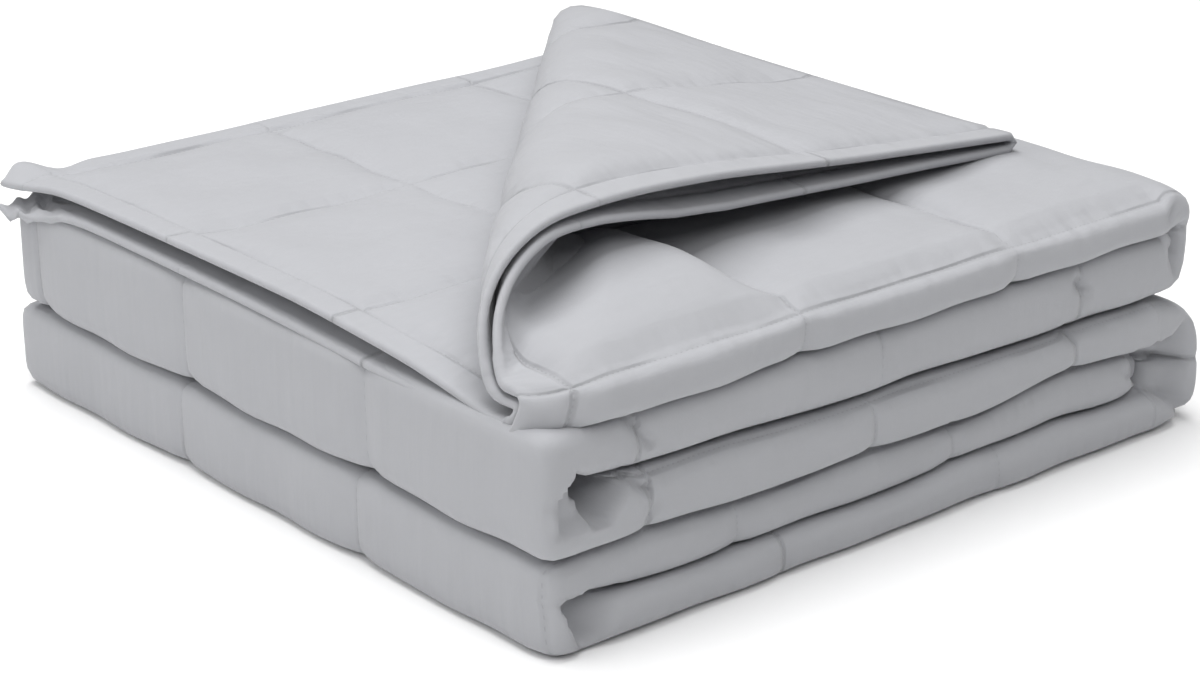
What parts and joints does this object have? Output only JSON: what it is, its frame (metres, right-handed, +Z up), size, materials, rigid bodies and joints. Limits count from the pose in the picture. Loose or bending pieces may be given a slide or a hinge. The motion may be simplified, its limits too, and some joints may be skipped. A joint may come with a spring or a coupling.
{
  "type": "weighted blanket",
  "caption": "Quilted weighted blanket folded into a thick, nearly square stack, with the corner of its top plies peeled back over a soft roll.",
  "frame": {"origin": "middle of the folded stack's footprint, on the surface that it rests on", "axes": "+Z up, +X along the side that shows the strip's folded edges, towards the end where the sections turn back in the wide bend, +Y away from that side"},
  "size_m": [0.3868, 0.3844, 0.1531],
  "materials": {
    "brushed_cloth": "matt brushed cloth with a soft sheen"
  },
  "bodies": {
    "root": {"blanket": "brushed_cloth"}
  },
  "joints": []
}
